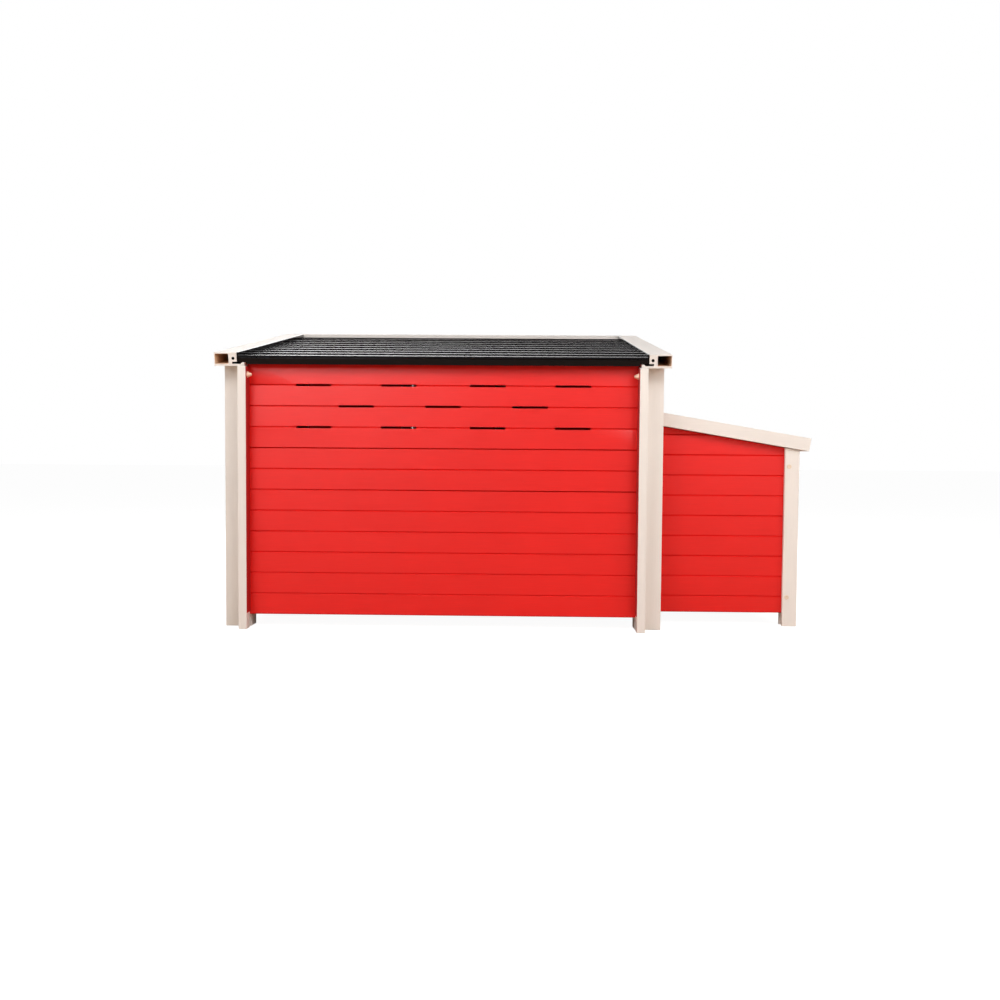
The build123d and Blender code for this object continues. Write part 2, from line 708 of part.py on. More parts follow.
def write_door():
    stiles = [
        block((door_left, door_left + DOOR_STILE), door_y, (door_low, door_high)),
        block((door_right - DOOR_STILE, door_right), door_y, (door_low, door_high)),
    ]
    write("door_stiles", *stiles)
    inner_x = (door_left + DOOR_STILE, door_right - DOOR_STILE)
    rail_bands = [
        (door_low, door_low + DOOR_STILE),
        (door_middle - DOOR_STILE / 2, door_middle + DOOR_STILE / 2),
        (door_high - DOOR_STILE, door_high),
    ]
    write("door_rails", *[block(inner_x, door_y, band) for band in rail_bands])

    planks = []
    braces = []
    plank_y = (door_y[0] + 3, door_y[1] - 8)
    brace_y = (plank_y[1], door_y[1] - 1)
    for lower, upper in zip(rail_bands[:-1], rail_bands[1:]):
        panel = (lower[1], upper[0])
        count = 5
        height = (panel[1] - panel[0]) / count
        for index in range(count):
            low = panel[0] + index * height
            high = low + height
            outline = [
                (plank_y[1], low + VEE),
                (plank_y[1], high - VEE),
                (plank_y[1] - VEE, high),
                (plank_y[0], high),
                (plank_y[0], low),
                (plank_y[1] - VEE, low),
            ]
            planks.append(run_along(outline, "x", *inner_x))
        window = block(inner_x, brace_y, panel)
        corners = [(inner_x[0], panel[0]), (inner_x[1], panel[1])]
        other = [(inner_x[0], panel[1]), (inner_x[1], panel[0])]
        cross = brace(*corners, DOOR_BRACE, brace_y) + brace(*other, DOOR_BRACE, brace_y)
        braces.append(cross & window)
    write("door_planks", *planks)
    write("door_braces", *braces)

    face = door_y[1]
    pull_x = door_right - DOOR_STILE / 2
    pull_z = 560.0
    grip_path = FilletPolyline(
        (pull_x, face, pull_z - 55),
        (pull_x, face + 22, pull_z - 55),
        (pull_x, face + 22, pull_z + 55),
        (pull_x, face, pull_z + 55),
        radius=12,
    )
    grip = sweep(Plane(origin=grip_path @ 0, z_dir=grip_path % 0) * Circle(5), path=grip_path)
    write("door_pull", grip)


hinge_z = (240.0, 820.0)
door_axis = (CABIN_X - DOOR_OPENING + DOOR_GAP / 2, jamb_y[1] + HINGE_OFFSET)
BOLT_Z = 700.0
BOLT_R = 4.0


def write_door_bolt():
    face = door_y[1]
    axis_y = face + 9
    bolt_end = door_right - 1.5
    start = bolt_end - 60
    rod = Pos((start + bolt_end) / 2, axis_y, BOLT_Z) * Rot(0, 90, 0) * Cylinder(BOLT_R, 60)
    knob_x = start + 20
    knob = Pos(knob_x, axis_y, BOLT_Z - 9) * Cylinder(2.5, 18)
    tip = Pos(knob_x, axis_y, BOLT_Z - 18) * Sphere(4.5)
    write("door_bolt_rod", rod + knob + tip)
    guides = block((start - 2, bolt_end - 1), (face, face + 2), (BOLT_Z - 14, BOLT_Z + 14))
    for low in (start + 2, bolt_end - 14):
        guides += block((low, low + 12), (face, axis_y + BOLT_R + 2.5), (BOLT_Z - 8, BOLT_Z + 8))
    bore = Pos((start + bolt_end) / 2, axis_y, BOLT_Z) * Rot(0, 90, 0) * Cylinder(BOLT_R + 0.1, 100)
    write("door_bolt_guide", guides - bore)
    keeper_x = (CABIN_X + DOOR_OPENING + 5, CABIN_X + DOOR_OPENING + 19)
    keeper = block((keeper_x[0], keeper_x[1] + 8), (face, face + 2), (BOLT_Z - 14, BOLT_Z + 14))
    keeper += block(keeper_x, (face, axis_y + BOLT_R + 2.5), (BOLT_Z - 8, BOLT_Z + 8))
    keeper -= Pos(keeper_x[0] + 7, axis_y, BOLT_Z) * Rot(0, 90, 0) * Cylinder(BOLT_R + 0.5, 60)
    write("door_bolt_keeper", keeper)


# Ramp that closes the pop opening

ramp_x = (LEFT_FACE - RAMP_STANDOFF - RAMP_THICK, LEFT_FACE - RAMP_STANDOFF)
ramp_low = joint_z(POP_PLANKS[0] - 1) + 3
ramp_high = ramp_low + RAMP_HEIGHT
ramp_axis = (ramp_x[0] - HINGE_OFFSET, ramp_low - 2)
BUTTON_Z = ramp_high + 26


def write_ramp():
    board = block(ramp_x, (-RAMP_HALF_WIDTH, RAMP_HALF_WIDTH), (ramp_low, ramp_high))
    board = chamfer(board.edges().filter_by(Axis.Y), 1.5)
    write("ramp_board", board)
    cleats = []
    thick, length, width = CLEAT
    for index in range(CLEATS):
        low = ramp_low + CLEAT_START + index * CLEAT_PITCH
        across = (-length / 2, length / 2)
        cleats.append(block((ramp_x[1], ramp_x[1] + thick), across, (low, low + width)))
    write("ramp_cleats", *cleats)
    sill = block(
        (ramp_x[0], LEFT_FACE),
        (-RAMP_HALF_WIDTH, RAMP_HALF_WIDTH),
        (WALL_BOTTOM + 20, ramp_low - 4),
    )
    write("ramp_sill_block", sill)
    pull_z = ramp_high - 60
    pull_path = FilletPolyline(
        (ramp_x[0], -30, pull_z),
        (ramp_x[0] - 13, -30, pull_z),
        (ramp_x[0] - 13, 30, pull_z),
        (ramp_x[0], 30, pull_z),
        radius=7,
    )
    pull = sweep(Plane(origin=pull_path @ 0, z_dir=pull_path % 0) * Circle(3), path=pull_path)
    write("ramp_pull", pull)
    boss = Pos(LEFT_FACE - 9, 0, BUTTON_Z) * Rot(0, 90, 0) * Cylinder(9, 18)
    stud = Pos(LEFT_FACE - 22, 0, BUTTON_Z) * Rot(0, 90, 0) * Cylinder(3, 10)
    head = Pos(LEFT_FACE - 26, 0, BUTTON_Z) * Rot(0, 90, 0) * Cylinder(6, 2.4)
    write("ramp_button_stud", boss + stud + head)
    plate_x = (LEFT_FACE - 24.5, LEFT_FACE - 18.4)
    plate = Pos(0, 0, BUTTON_Z) * block(plate_x, (-36, 36), (-10, 10))
    plate = fillet(plate.edges().filter_by(Axis.X), 9.5)
    plate -= Pos(LEFT_FACE - 21, 0, BUTTON_Z) * Rot(0, 90, 0) * Cylinder(3.08, 12)
    write("ramp_turn_button", plate)


# Screw caps

def cone_cap():
    """A tapered cap, from its seat along +z."""
    flange = Pos(0, 0, 1.5) * Cylinder(10.5, 3)
    cone = Pos(0, 0, 9) * Cone(9, 4, 12)
    return flange + cone


def flat_cap():
    cap = Pos(0, 0, 1.5) * Cylinder(7.5, 3)
    return chamfer(cap.edges().sort_by(Axis.Z)[-1], 1.2)


CONE_CAP_Y = CABIN_HALF_DEPTH - 14
CONE_CAP_Z = 842.5
FLAT_CAP_X = NEST_POST_LOW + 14
FLAT_CAP_Z = (101.0, 551.0)


def write_caps():
    cones = []
    for side in (-1, 1):
        seat_x = CABIN_X + side * (FIN_INNER - TRIM_THICK)
        for depth in (-1, 1):
            turn = Rot(0, -90 * side, 0)
            cones.append(Pos(seat_x, depth * CONE_CAP_Y, CONE_CAP_Z) * turn * cone_cap())
    write("fin_screw_caps", *cones)
    flats = []
    for height in FLAT_CAP_Z:
        for depth in (-1, 1):
            turn = Rot(-90 * depth, 0, 0)
            seat = Pos(CABIN_X + FLAT_CAP_X, depth * NEST_HALF_DEPTH, height)
            flats.append(seat * turn * flat_cap())
    write("nest_screw_caps", *flats)


write_corner_posts()
write_back_wall()
write_wall_end_trims()
write_left_wall()
write_right_wall()
write_front_wall()
write_roof()
write_lid()
write_nest()
write_floor()
write_perches()
write_door()
write_door_bolt()
write_ramp()
write_caps()

door_places = [Pos(door_axis[0], door_axis[1], height) for height in hinge_z]
write_hinges("door", door_places, door_places)

ramp_places = [
    Plane(origin=(ramp_axis[0], side, ramp_axis[1]), x_dir=(0, 0, 1), z_dir=(0, -1, 0)).location
    for side in (-100, 100)
]
write_hinges("ramp", ramp_places, ramp_places)

lid_axis_x = RIGHT_FACE + 2 + HINGE_OFFSET
lid_axis_z = (
    LID_LEVEL[1]
    - (lid_axis_x - CABIN_X - LID_LEVEL[0]) * tan(radians(LID_SLOPE))
    + (RAIL_HEIGHT + HINGE_OFFSET) / cos(radians(LID_SLOPE))
)
down_slope = (cos(radians(LID_SLOPE)), 0, -sin(radians(LID_SLOPE)))
header_places = []
lid_places = []
for side in (-200, 200):
    pin_middle = (lid_axis_x, side, lid_axis_z)
    header_places.append(Plane(origin=pin_middle, x_dir=(0, 0, -1), z_dir=(0, -1, 0)).location)
    lid_places.append(Plane(origin=pin_middle, x_dir=down_slope, z_dir=(0, -1, 0)).location)
write_hinges("lid", header_places, lid_places)
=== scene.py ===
import json
import random
from math import cos, hypot, pi, radians, sin

import bmesh
import bpy
from mathutils import Matrix, Vector


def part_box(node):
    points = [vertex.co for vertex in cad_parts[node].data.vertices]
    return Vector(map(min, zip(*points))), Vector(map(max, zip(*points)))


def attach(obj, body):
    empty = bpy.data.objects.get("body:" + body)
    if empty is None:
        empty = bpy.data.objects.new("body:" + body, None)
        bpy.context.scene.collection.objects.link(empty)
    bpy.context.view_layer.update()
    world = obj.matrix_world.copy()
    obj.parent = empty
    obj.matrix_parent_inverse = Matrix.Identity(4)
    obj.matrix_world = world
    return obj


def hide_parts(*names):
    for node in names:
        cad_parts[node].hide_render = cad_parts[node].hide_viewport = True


scene = bpy.context.scene
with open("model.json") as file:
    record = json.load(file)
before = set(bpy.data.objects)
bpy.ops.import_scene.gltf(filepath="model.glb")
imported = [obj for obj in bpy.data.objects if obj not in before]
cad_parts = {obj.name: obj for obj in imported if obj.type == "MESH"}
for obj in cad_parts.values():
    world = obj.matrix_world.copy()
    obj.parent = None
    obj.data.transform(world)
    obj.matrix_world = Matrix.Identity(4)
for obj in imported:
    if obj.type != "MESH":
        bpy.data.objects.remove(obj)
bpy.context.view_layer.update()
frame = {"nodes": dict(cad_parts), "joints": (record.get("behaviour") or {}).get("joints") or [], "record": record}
nodes = frame["nodes"]
hinge_places = {
    joint["name"]: Vector(joint["pos_m"]) for joint in frame["joints"] if joint["type"] == "hinge"
}
body_of_node = {
    node: body
    for body, members in frame["record"]["behaviour"]["bodies"].items()
    for node in members
}


# Materials: every one is procedural, in metres, on object coordinates

class Nodes:
    """A few short calls for building a material's node tree."""

    def __init__(self, name):
        self.material = bpy.data.materials.new(name)
        self.material.use_nodes = True
        self.tree = self.material.node_tree
        self.shader = self.tree.nodes["Principled BSDF"]
        coordinates = self.tree.nodes.new("ShaderNodeTexCoord")
        self.place = coordinates.outputs["Object"]

    def link(self, source, target):
        self.tree.links.new(source, target)

    def noise(self, scale, stretch=(1, 1, 1), detail=4.0, rough=0.55):
        """Noise whose features are 1 / scale metres, longer where stretch is small."""
        mapping = self.tree.nodes.new("ShaderNodeMapping")
        mapping.inputs["Scale"].default_value = stretch
        self.link(self.place, mapping.inputs["Vector"])
        texture = self.tree.nodes.new("ShaderNodeTexNoise")
        texture.inputs["Scale"].default_value = scale
        texture.inputs["Detail"].default_value = detail
        texture.inputs["Roughness"].default_value = rough
        self.link(mapping.outputs["Vector"], texture.inputs["Vector"])
        return texture.outputs["Fac"]

    def attribute(self, name):
        reader = self.tree.nodes.new("ShaderNodeAttribute")
        reader.attribute_name = name
        return reader.outputs["Fac"]

    def math(self, operation, first, second):
        node = self.tree.nodes.new("ShaderNodeMath")
        node.operation = operation
        for socket, value in zip(node.inputs, (first, second)):
            if isinstance(value, (int, float)):
                socket.default_value = value
            else:
                self.link(value, socket)
        return node.outputs[0]

    def spread(self, value, low, high):
        """Map 0.3 to 0.7, where noise mostly lies, to low and high."""
        node = self.tree.nodes.new("ShaderNodeMapRange")
        node.inputs["From Min"].default_value = 0.3
        node.inputs["From Max"].default_value = 0.7
        node.inputs["To Min"].default_value = low
        node.inputs["To Max"].default_value = high
        self.link(value, node.inputs["Value"])
        return node.outputs["Result"]

    def blend(self, factor, dark, light):
        """A colour between two colours or sockets."""
        node = self.tree.nodes.new("ShaderNodeMix")
        node.data_type = "RGBA"
        self.link(factor, node.inputs["Factor"])
        for socket, value in ((node.inputs[6], dark), (node.inputs[7], light)):
            if isinstance(value, tuple):
                socket.default_value = (*value, 1)
            else:
                self.link(value, socket)
        return node.outputs[2]

    def bump(self, height, distance, strength=1.0):
        node = self.tree.nodes.new("ShaderNodeBump")
        node.inputs["Distance"].default_value = distance
        node.inputs["Strength"].default_value = strength
        self.link(height, node.inputs["Height"])
        self.link(node.outputs["Normal"], self.shader.inputs["Normal"])

    def set(self, **values):
        for name, value in values.items():
            socket = self.shader.inputs[name.replace("_", " ")]
            if isinstance(value, (int, float)):
                socket.default_value = value
            elif isinstance(value, tuple):
                socket.default_value = (*value, 1)
            else:
                self.link(value, socket)


STRETCH = {"x": (0.03, 1, 1), "y": (1, 0.03, 1), "z": (1, 1, 0.03)}


def scaled(colour, factor):
    return tuple(min(1.0, channel * factor) for channel in colour)


def composite(name, colour, axis, roughness, streak=0.06, gloss=0.35, depth=0.00025):
    """Extruded wood-plastic: faint drawn lines along one axis and a soft mottle."""
    made = Nodes(name)
    lines = made.noise(420.0, STRETCH[axis], 5.0)
    mottle = made.noise(5.0, detail=3.0)
    amount = made.math("ADD", made.spread(lines, 0.25, 0.75), made.spread(mottle, -0.2, 0.2))
    amount = made.math("ADD", amount, made.math("SUBTRACT", made.attribute("tone"), 0.5))
    colours = (scaled(colour, 1 - streak), scaled(colour, 1 + streak))
    rough = made.spread(lines, roughness - 0.05, roughness + 0.07)
    made.set(Base_Color=made.blend(amount, *colours), Roughness=rough, Specular_IOR_Level=gloss)
    made.bump(lines, depth, 0.5)
    return made.material


def worn_and_highlit(name, colour, axis, roughness):
    """The rounded edges of the same material: a little paler and smoother, partly for wear and partly as a painted
    highlight along the edges.
    """
    made = Nodes(name)
    rub = made.noise(90.0, STRETCH[axis], 4.0)
    colours = (colour, tuple(channel * 0.86 + 0.14 * 0.9 for channel in colour))
    made.set(Base_Color=made.blend(made.spread(rub, 0.0, 1.0), *colours), Roughness=roughness)
    made.bump(rub, 0.0001, 0.3)
    return made.material


def groove(name, colour, axis):
    """The V along a plank joint: the same material, darkened partly by dirt that lodges there and partly as
    painted shade in the joint.
    """
    made = Nodes(name)
    dirt_and_shade = made.noise(70.0, STRETCH[axis], 4.0)
    colours = (scaled(colour, 0.84), scaled(colour, 0.98))
    colour = made.blend(made.spread(dirt_and_shade, 0.0, 1.0), *colours)
    made.set(Base_Color=colour, Roughness=0.6, Specular_IOR_Level=0.1)
    made.bump(dirt_and_shade, 0.0001, 0.3)
    return made.material


def glossy_black(name, clean, dusty, texture):
    """Moulded black: a deep gloss with faint drawn haze and a little dust."""
    made = Nodes(name)
    haze = made.noise(60.0, STRETCH["x"], 5.0)
    dust = made.noise(38.0, detail=6.0, rough=0.7)
    speckle = made.math("MULTIPLY", made.spread(dust, 0.0, 1.0), made.spread(haze, 0.3, 1.0))
    made.set(
        Base_Color=made.blend(speckle, clean, dusty),
        Roughness=made.spread(haze, 0.11, 0.13),
        Specular_IOR_Level=0.26,
        Specular_Tint=(0.94, 0.88, 0.96),
    )
    made.bump(haze, texture, 0.3)
    return made.material


def rubbed_black(name):
    """The lower edges of the roof boards, dulled by weather."""
    made = Nodes(name)
    rub = made.noise(30.0, STRETCH["x"], 4.0)
    colour = made.blend(made.spread(rub, 0.0, 1.0), (0.004, 0.0036, 0.0042), (0.014, 0.0125, 0.0145))
    made.set(Base_Color=colour, Roughness=0.5, Specular_IOR_Level=0.05)
    return made.material


def timber(name, axis):
    """Planed softwood with long grain along one axis."""
    made = Nodes(name)
    grain = made.noise(65.0, STRETCH[axis], 7.0, 0.65)
    fine = made.noise(600.0, STRETCH[axis], 4.0)
    amount = made.math("ADD", made.spread(grain, 0.0, 0.8), made.spread(fine, -0.1, 0.2))
    colour = made.blend(amount, (0.36, 0.20, 0.09), (0.68, 0.47, 0.27))
    made.set(Base_Color=colour, Roughness=made.spread(fine, 0.5, 0.7))
    made.bump(grain, 0.0005, 0.5)
    return made.material


def panel(name):
    """Matt grey-brown composite panel with chips in it."""
    made = Nodes(name)
    chips = made.noise(170.0, detail=8.0, rough=0.75)
    clouds = made.noise(7.0, detail=2.0)
    amount = made.math("ADD", made.spread(chips, 0.1, 0.8), made.spread(clouds, -0.15, 0.15))
    colour = made.blend(amount, (0.20, 0.17, 0.14), (0.42, 0.36, 0.30))
    made.set(Base_Color=colour, Roughness=made.spread(chips, 0.6, 0.8))
    made.bump(chips, 0.0003, 0.5)
    return made.material


def plated_steel(name):
    """Zinc-plated steel with a fine spangle."""
    made = Nodes(name)
    spangle = made.noise(300.0, detail=6.0, rough=0.7)
    drawn = made.noise(1500.0, (1, 1, 0.08), 3.0)
    colour = made.blend(made.spread(spangle, 0.0, 1.0), (0.50, 0.51, 0.53), (0.74, 0.75, 0.77))
    made.set(Base_Color=colour, Metallic=1.0, Roughness=made.spread(drawn, 0.26, 0.42))
    made.bump(spangle, 0.00008, 0.4)
    return made.material


def cap_plastic(name, colour):
    made = Nodes(name)
    mottle = made.noise(400.0, detail=4.0)
    colours = (scaled(colour, 0.9), scaled(colour, 1.08))
    made.set(Base_Color=made.blend(made.spread(mottle, 0.0, 1.0), *colours), Roughness=0.42)
    made.bump(mottle, 0.00008, 0.3)
    return made.material


RED = (0.82, 0.012, 0.009)
# The trims' red, darkened to paint in the shade that falls in the recess beside the fins.
SHADED_TRIM_RED = (0.40, 0.007, 0.006)
CREAM = (0.86, 0.79, 0.735)
CAP = (0.88, 0.56, 0.40)
PALE_CAP = (0.82, 0.66, 0.50)
CORE = (0.76, 0.53, 0.36)
# Near-black painted shade for the insides of the rails' screw holes and lip slots.
HOLE_SHADE_BLACK = (0.016, 0.012, 0.010)

materials = {}
for grain_axis in "xyz":
    red = composite(f"red_plank_{grain_axis}", RED, grain_axis, 0.36, 0.07)
    # The joints' darker red is partly dirt and partly painted shade.
    red_groove = groove(f"red_groove_{grain_axis}", RED, grain_axis)
    cream = composite(f"cream_trim_{grain_axis}", CREAM, grain_axis, 0.45, 0.03, 0.15)
    # The paler cream edges are partly wear and partly a painted highlight.
    cream_edge = worn_and_highlit(f"cream_edge_{grain_axis}", scaled(CREAM, 1.04), grain_axis, 0.34)
    wood = timber(f"timber_{grain_axis}", grain_axis)
    core = composite(f"raw_core_{grain_axis}", CORE, grain_axis, 0.6, 0.15)
    # The near-black material is painted shade for holes and slots.
    hole_shade = composite(f"slot_grime_{grain_axis}", HOLE_SHADE_BLACK, grain_axis, 0.7, 0.3, 0.05)
    materials["red", grain_axis] = (red, red_groove)
    materials["cream", grain_axis] = (cream, cream_edge, core, hole_shade)
    materials["timber", grain_axis] = (wood, wood)
# The trim strips get this darker red as painted shade for the recess beside the fins.
deep_red = composite("painted_shade_trim_red", SHADED_TRIM_RED, "z", 0.5, 0.10)
materials["deep_red", "z"] = (deep_red, deep_red)
black = glossy_black("roof_black", (0.0015, 0.001, 0.0013), (0.006, 0.004, 0.005), 0.00004)
board = glossy_black("roof_board", (0.002, 0.0018, 0.002), (0.012, 0.011, 0.012), 0.000004)
materials["black", "x"] = (black, black)
materials["board", "x"] = (board, rubbed_black("roof_edge"))
materials["panel", "x"] = (panel("grey_panel"),) * 2
materials["steel", "x"] = (plated_steel("plated_steel"),) * 2
materials["cap", "x"] = (cap_plastic("cap_tan", CAP),) * 2
materials["pale_cap", "x"] = (cap_plastic("cap_pale", PALE_CAP),) * 2


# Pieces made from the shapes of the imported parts: cleaned, edged and shaded

EDGE_ANGLE = radians(38)
# The third and fourth finishes are a rail's brown core and the near-black painted shade of its hole and slot.
EDGE_FINISH, CORE_FINISH, PAINTED_SHADE_FINISH = 1, 2, 3  # places in a piece's list of materials


def islands(work):
    """The separate shapes in a mesh, each a list of its vertices."""
    seen = set()
    for start in work.verts:
        if start in seen:
            continue
        island = [start]
        seen.add(start)
        for vert in island:
            for edge in vert.link_edges:
                other = edge.other_vert(vert)
                if other not in seen:
                    seen.add(other)
                    island.append(other)
        yield island


def tone_islands(mesh, seed):
    """Give every separate board its own small change of tone."""
    work = bmesh.new()
    work.from_mesh(mesh)
    picker = random.Random(seed)
    tones = [0.5] * len(work.verts)
    for island in islands(work):
        tone = 0.5 + picker.uniform(-0.35, 0.35)
        for vert in island:
            tones[vert.index] = tone
    work.free()
    attribute = mesh.attributes.new("tone", "FLOAT", "POINT")
    attribute.data.foreach_set("value", tones)


ROOF_SLOPE = radians(10.3)
LID_SLOPE = radians(9.5)
CHAMBER_SPAN = (0.002, 0.048)     # from a rail's outer face
CHAMBER_RISE = (0.0065, 0.0405)   # above a rail's underside
BORE = (0.0625, 0.025, 0.0052)    # a rail's screw hole: inward, rise and radius
LIP_SLOT_SPAN = (0.0585, 0.0741)
LIP_SLOT_RISE = (0.0065, 0.0145)


CABIN_MIDDLE = -0.250
ROOF_HALF_WIDTH = 0.750
EAVE = Vector((0, -0.518, 0.868))       # on the underside of the roof's rails
LID_HALF_WIDTH = 0.368
LID_LEVEL = Vector((0.4845, 0, 0.689))  # on the underside of the lid's rails


def roof_rail_place(point):
    """Distance in from a roof rail's outer face, and height above its underside."""
    from_eave = point - EAVE
    inward = ROOF_HALF_WIDTH - abs(point.x - CABIN_MIDDLE)
    return inward, from_eave.z * cos(ROOF_SLOPE) - from_eave.y * sin(ROOF_SLOPE)


def lid_rail_place(point):
    """The same for the lid's rails."""
    from_level = point - LID_LEVEL
    inward = LID_HALF_WIDTH - abs(point.y)
    return inward, from_level.z * cos(LID_SLOPE) + from_level.x * sin(LID_SLOPE)


rail_places = {
    "roof_rail_left": (roof_rail_place, Vector((0, cos(ROOF_SLOPE), sin(ROOF_SLOPE)))),
    "roof_rail_right": (roof_rail_place, Vector((0, cos(ROOF_SLOPE), sin(ROOF_SLOPE)))),
    "lid_side_rails": (lid_rail_place, Vector((cos(LID_SLOPE), 0, -sin(LID_SLOPE)))),
}


def within(value, span):
    return span[0] < value < span[1]


def bare_the_core(mesh, place_of, slope):
    """Show the raw brown core inside a rail's chamber, and paint its hole and slot near-black as painted shade."""
    for face in mesh.polygons:
        if abs(face.normal.dot(slope)) > 0.5:
            continue
        inward, height = place_of(face.center)
        in_bore = hypot(inward - BORE[0], height - BORE[1]) < BORE[2]
        in_slot = within(inward, LIP_SLOT_SPAN) and within(height, LIP_SLOT_RISE)
        if within(inward, CHAMBER_SPAN) and within(height, CHAMBER_RISE):
            face.material_index = CORE_FINISH
        # Hole and slot faces take the near-black painted shade.
        elif in_bore or in_slot:
            face.material_index = PAINTED_SHADE_FINISH


def refinish(mesh, flattest, steepest):
    """Give the faces that slant between two limits of their normals' z the second finish."""
    for face in mesh.polygons:
        if flattest < abs(face.normal.z) < steepest:
            face.material_index = EDGE_FINISH


second_finish = {
    "red": (0.3, 0.95),     # the Vs along the plank joints
    "board": (-1.0, 0.9),   # the lower edges of the roof boards
}


def cleaned(source):
    """A copy of a part's mesh with its flat faces whole again."""
    work = bmesh.new()
    work.from_mesh(source)
    bmesh.ops.remove_doubles(work, verts=work.verts, dist=2e-6)
    bmesh.ops.dissolve_limit(
        work, angle_limit=radians(0.4), verts=work.verts, edges=work.edges, delimit={"NORMAL"}
    )
    mesh = bpy.data.meshes.new(source.name + "_shape")
    work.to_mesh(mesh)
    work.free()
    return mesh


def settle(piece):
    """Apply a piece's modifiers."""
    graph = bpy.context.evaluated_depsgraph_get()
    finished = bpy.data.meshes.new_from_object(piece.evaluated_get(graph))
    piece.modifiers.clear()
    piece.data = finished


def edged(node, look, width, segments=2):
    """The part named node with rounded edges and its own finish."""
    source = nodes[node]
    mesh = cleaned(source.data)
    tone_islands(mesh, node)
    mesh.shade_smooth()
    mesh.set_sharp_from_angle(angle=EDGE_ANGLE)
    mesh.materials.clear()
    for material in materials[look]:
        mesh.materials.append(material)
    if look[0] in second_finish:
        refinish(mesh, *second_finish[look[0]])
    if node in rail_places:
        bare_the_core(mesh, *rail_places[node])
    piece = bpy.data.objects.new(node + "_finished", mesh)
    scene.collection.objects.link(piece)
    bevel = piece.modifiers.new("edges", "BEVEL")
    bevel.width = width
    bevel.segments = segments
    bevel.limit_method = "ANGLE"
    bevel.angle_limit = EDGE_ANGLE
    bevel.harden_normals = True
    bevel.material = EDGE_FINISH
    settle(piece)
    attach(piece, body_of_node[node])
    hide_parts(node)
    return piece


finishes = {
    "back_wall_planks": (("red", "x"), 0.0006),
    "front_wall_planks": (("red", "x"), 0.0006),
    "left_wall_planks": (("red", "y"), 0.0006),
    "right_wall_planks": (("red", "y"), 0.0006),
    # The trims' darker red is painted shade.
    "wall_end_trims": (("deep_red", "z"), 0.0006),
    "nest_side_planks": (("red", "x"), 0.0006),
    "nest_end_planks": (("red", "y"), 0.0006),
    "door_planks": (("red", "x"), 0.0006),
    "ramp_board": (("red", "y"), 0.0010),
    "corner_post_back_left": (("cream", "z"), 0.0015),
    "corner_post_back_right": (("cream", "z"), 0.0015),
    "corner_post_front_left": (("cream", "z"), 0.0015),
    "corner_post_front_right": (("cream", "z"), 0.0015),
    "nest_post_back": (("cream", "z"), 0.0014),
    "nest_post_front": (("cream", "z"), 0.0014),
    "roof_rail_left": (("cream", "y"), 0.0010),
    "roof_rail_right": (("cream", "y"), 0.0010),
    "roof_front_cross_rail": (("cream", "x"), 0.0012),
    "lid_side_rails": (("cream", "x"), 0.0010),
    "lid_top_cross_rail": (("cream", "y"), 0.0012),
    "nest_opening_frame": (("cream", "z"), 0.0015),
    "door_frame": (("cream", "z"), 0.0015),
    "door_stiles": (("cream", "z"), 0.0015),
    "door_rails": (("cream", "x"), 0.0015),
    "door_braces": (("cream", "x"), 0.0010),
    "ramp_cleats": (("cream", "y"), 0.0015),
    "ramp_sill_block": (("cream", "y"), 0.0015),
    "ramp_turn_button": (("cream", "y"), 0.0012),
    "roof_shingles": (("board", "x"), 0.0007),
    "roof_eave_board": (("black", "x"), 0.0012),
    "roof_side_strips": (("black", "x"), 0.0008),
    "lid_side_strips": (("black", "x"), 0.0008),
    "lid_shingles": (("board", "x"), 0.0007),
    "lid_eave_board": (("black", "x"), 0.0012),
    "roof_purlins": (("timber", "x"), 0.0020),
    "back_wall_battens": (("timber", "z"), 0.0015),
    "floor_joists": (("timber", "x"), 0.0015),
    "perches": (("timber", "y"), 0.0010),
    "floor_panel": (("panel", "x"), 0.0008),
    "nest_floor_panel": (("panel", "x"), 0.0008),
    "nest_divider": (("panel", "x"), 0.0010),
    "nest_bedding_boards": (("panel", "x"), 0.0015),
    "perch_sockets": (("panel", "x"), 0.0010),
    "door_hinge_fixed_leaves": (("steel", "x"), 0.0003),
    "door_hinge_moving_leaves": (("steel", "x"), 0.0003),
    "door_hinge_pins": (("steel", "x"), 0.0004),
    "ramp_hinge_fixed_leaves": (("steel", "x"), 0.0003),
    "ramp_hinge_moving_leaves": (("steel", "x"), 0.0003),
    "ramp_hinge_pins": (("steel", "x"), 0.0004),
    "lid_hinge_fixed_leaves": (("steel", "x"), 0.0003),
    "lid_hinge_moving_leaves": (("steel", "x"), 0.0003),
    "lid_hinge_pins": (("steel", "x"), 0.0004),
    "door_bolt_guide": (("steel", "x"), 0.0005),
    "door_bolt_keeper": (("steel", "x"), 0.0005),
    "door_bolt_rod": (("steel", "x"), 0.0004),
    "door_pull": (("steel", "x"), 0.0004),
    "ramp_pull": (("steel", "x"), 0.0003),
    "ramp_button_stud": (("steel", "x"), 0.0003),
}

for node_name, (look, width) in finishes.items():
    edged(node_name, look, width)


# Turned pieces: screw caps, screws and the washers under the pulls

def frame_at(point, outward, spin=0.0):
    """A place whose z axis points outward from a face, turned about it by spin."""
    turn = outward.to_track_quat("Z", "Y").to_matrix().to_4x4()
    return Matrix.Translation(point) @ turn @ Matrix.Rotation(spin, 4, "Z")


def ring_of(work, place, radius, height, segments):
    if radius == 0:
        return [work.verts.new(place @ Vector((0, 0, height)))]
    steps = [2 * pi * step / segments for step in range(segments)]
    return [work.verts.new(place @ Vector((radius * cos(a), radius * sin(a), height))) for a in steps]


